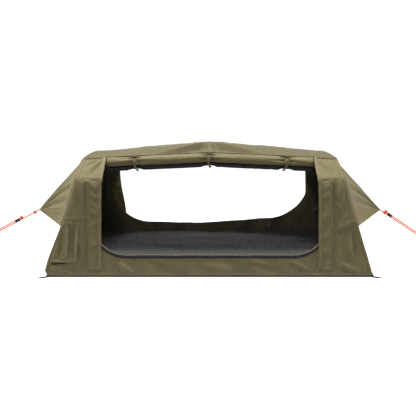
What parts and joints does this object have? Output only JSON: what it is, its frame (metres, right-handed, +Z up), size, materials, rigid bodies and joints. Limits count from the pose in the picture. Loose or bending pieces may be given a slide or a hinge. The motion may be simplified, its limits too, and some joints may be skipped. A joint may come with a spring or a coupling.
{
  "type": "swag bedroll",
  "caption": "Canvas swag tent with a floor tub, mattress, hooped poles, rolled doors, end hoods and guy ropes.",
  "frame": {"origin": "middle of the underside of the floor tub", "axes": "+X along the length, +Z up, the front door faces -Y"},
  "size_m": [3.2348, 1.196, 0.864],
  "materials": {
    "olive_canvas": "coated ripstop canvas",
    "roof_canvas": "coated ripstop canvas",
    "black_pvc": "soft PVC",
    "black_mesh": "fine insect mesh",
    "zip_tape": "zip tape",
    "black_webbing": "webbing",
    "black_plastic": "moulded nylon",
    "mattress_cover": "brushed polyester",
    "steel": "zinc plated",
    "alloy_pole": "anodised",
    "orange_webbing": "webbing",
    "orange_rope": "braided cord"
  },
  "bodies": {
    "root": {"floor_tub": "black_pvc", "mattress": "mattress_cover", "roof_panel": "roof_canvas", "left_end_hoop": "alloy_pole", "left_crown_tee": "black_plastic", "left_ridge_pole": "alloy_pole", "left_end_wall": "olive_canvas", "left_vent_mesh": "black_mesh", "left_hood": "olive_canvas", "left_end_tab": "orange_webbing", "left_guy_rope": "orange_rope", "right_end_hoop": "alloy_pole", "right_crown_tee": "black_plastic", "right_ridge_pole": "alloy_pole", "right_end_wall": "olive_canvas", "right_vent_mesh": "black_mesh", "right_hood": "olive_canvas", "right_end_tab": "orange_webbing", "right_guy_rope": "orange_rope", "front_sill_panel": "olive_canvas", "front_zip_track": "zip_tape", "front_door_roll": "roof_canvas", "front_mesh_roll": "black_mesh", "front_tie_1": "olive_canvas", "front_tie_2": "olive_canvas", "front_tie_3": "olive_canvas", "front_left_corner_panel": "olive_canvas", "front_left_corner_tab": "black_webbing", "front_right_corner_panel": "olive_canvas", "front_right_corner_tab": "black_webbing", "rear_sill_panel": "olive_canvas", "rear_zip_track": "zip_tape", "rear_door_roll": "roof_canvas", "rear_mesh_roll": "black_mesh", "rear_tie_1": "olive_canvas", "rear_tie_2": "olive_canvas", "rear_tie_3": "olive_canvas", "rear_left_corner_panel": "olive_canvas", "rear_left_corner_tab": "black_webbing", "rear_right_corner_panel": "olive_canvas", "rear_right_corner_tab": "black_webbing"},
    "front_zip_slider": {"front_zip_slider": "steel"},
    "front_left_storm_flap": {"front_left_storm_flap": "olive_canvas"},
    "front_right_storm_flap": {"front_right_storm_flap": "olive_canvas"},
    "rear_zip_slider": {"rear_zip_slider": "steel"},
    "rear_left_storm_flap": {"rear_left_storm_flap": "olive_canvas"},
    "rear_right_storm_flap": {"rear_right_storm_flap": "olive_canvas"},
    "port_flap": {"port_flap": "olive_canvas"},
    "front_toggle_1": {"front_toggle_1": "black_plastic"},
    "front_toggle_2": {"front_toggle_2": "black_plastic"},
    "front_toggle_3": {"front_toggle_3": "black_plastic"},
    "front_left_peg_ring": {"front_left_peg_ring": "steel"},
    "front_right_peg_ring": {"front_right_peg_ring": "steel"},
    "rear_toggle_1": {"rear_toggle_1": "black_plastic"},
    "rear_toggle_2": {"rear_toggle_2": "black_plastic"},
    "rear_toggle_3": {"rear_toggle_3": "black_plastic"},
    "rear_left_peg_ring": {"rear_left_peg_ring": "steel"},
    "rear_right_peg_ring": {"rear_right_peg_ring": "steel"},
    "left_tensioner": {"left_tensioner": "black_plastic"},
    "right_tensioner": {"right_tensioner": "black_plastic"}
  },
  "joints": [
    {"name": "front_zip_slide", "type": "slide", "parent": "root", "child": "front_zip_slider", "axis": [1, 0, 0], "range_m": [0, 1]},
    {"name": "front_left_storm_flap_hinge", "type": "hinge", "parent": "root", "child": "front_left_storm_flap", "pos_m": [-0.802, -0.55, 0.05008], "axis": [0, -0.0558, -0.9984], "range_deg": [0, 100]},
    {"name": "front_right_storm_flap_hinge", "type": "hinge", "parent": "root", "child": "front_right_storm_flap", "pos_m": [0.802, -0.55, 0.05008], "axis": [0, 0.0558, 0.9984], "range_deg": [0, 100]},
    {"name": "rear_zip_slide", "type": "slide", "parent": "root", "child": "rear_zip_slider", "axis": [1, 0, 0], "range_m": [0, 0.84]},
    {"name": "rear_left_storm_flap_hinge", "type": "hinge", "parent": "root", "child": "rear_left_storm_flap", "pos_m": [-0.802, 0.55, 0.05008], "axis": [0, -0.0558, 0.9984], "range_deg": [0, 100]},
    {"name": "rear_right_storm_flap_hinge", "type": "hinge", "parent": "root", "child": "rear_right_storm_flap", "pos_m": [0.802, 0.55, 0.05008], "axis": [0, 0.0558, -0.9984], "range_deg": [0, 100]},
    {"name": "port_flap_hinge", "type": "hinge", "parent": "root", "child": "port_flap", "pos_m": [-0.855, -0.53109, 0.36151], "axis": [-1, 0, 0], "range_deg": [0, 100]},
    {"name": "front_toggle_1_turn", "type": "hinge", "parent": "root", "child": "front_toggle_1", "pos_m": [-0.5, -0.40913, 0.7802], "axis": [0, -0.6428, 0.766], "range_deg": [0, 90]},
    {"name": "front_toggle_2_turn", "type": "hinge", "parent": "root", "child": "front_toggle_2", "pos_m": [-0.008, -0.40913, 0.80273], "axis": [0, -0.6428, 0.766], "range_deg": [0, 90]},
    {"name": "front_toggle_3_turn", "type": "hinge", "parent": "root", "child": "front_toggle_3", "pos_m": [0.51, -0.40913, 0.77975], "axis": [0, -0.6428, 0.766], "range_deg": [0, 90]},
    {"name": "front_left_peg_ring_hinge", "type": "hinge", "parent": "root", "child": "front_left_peg_ring", "pos_m": [-1.10184, -0.57684, 0.0042], "axis": [-0.7071, 0.7071, 0], "range_deg": [0, 150]},
    {"name": "front_right_peg_ring_hinge", "type": "hinge", "parent": "root", "child": "front_right_peg_ring", "pos_m": [1.10184, -0.57684, 0.0042], "axis": [-0.7071, -0.7071, 0], "range_deg": [0, 150]},
    {"name": "rear_toggle_1_turn", "type": "hinge", "parent": "root", "child": "rear_toggle_1", "pos_m": [-0.5, 0.40913, 0.7802], "axis": [0, 0.6428, 0.766], "range_deg": [0, 90]},
    {"name": "rear_toggle_2_turn", "type": "hinge", "parent": "root", "child": "rear_toggle_2", "pos_m": [-0.008, 0.40913, 0.80273], "axis": [0, 0.6428, 0.766], "range_deg": [0, 90]},
    {"name": "rear_toggle_3_turn", "type": "hinge", "parent": "root", "child": "rear_toggle_3", "pos_m": [0.51, 0.40913, 0.77975], "axis": [0, 0.6428, 0.766], "range_deg": [0, 90]},
    {"name": "rear_left_peg_ring_hinge", "type": "hinge", "parent": "root", "child": "rear_left_peg_ring", "pos_m": [-1.10184, 0.57684, 0.0042], "axis": [0.7071, 0.7071, 0], "range_deg": [0, 150]},
    {"name": "rear_right_peg_ring_hinge", "type": "hinge", "parent": "root", "child": "rear_right_peg_ring", "pos_m": [1.10184, 0.57684, 0.0042], "axis": [0.7071, -0.7071, 0], "range_deg": [0, 150]},
    {"name": "left_tensioner_slide", "type": "slide", "parent": "root", "child": "left_tensioner", "axis": [-0.8828, 0, -0.4697], "range_m": [0, 0.1]},
    {"name": "right_tensioner_slide", "type": "slide", "parent": "root", "child": "right_tensioner", "axis": [0.8308, 0, -0.5566], "range_m": [0, 0.1]}
  ]
}
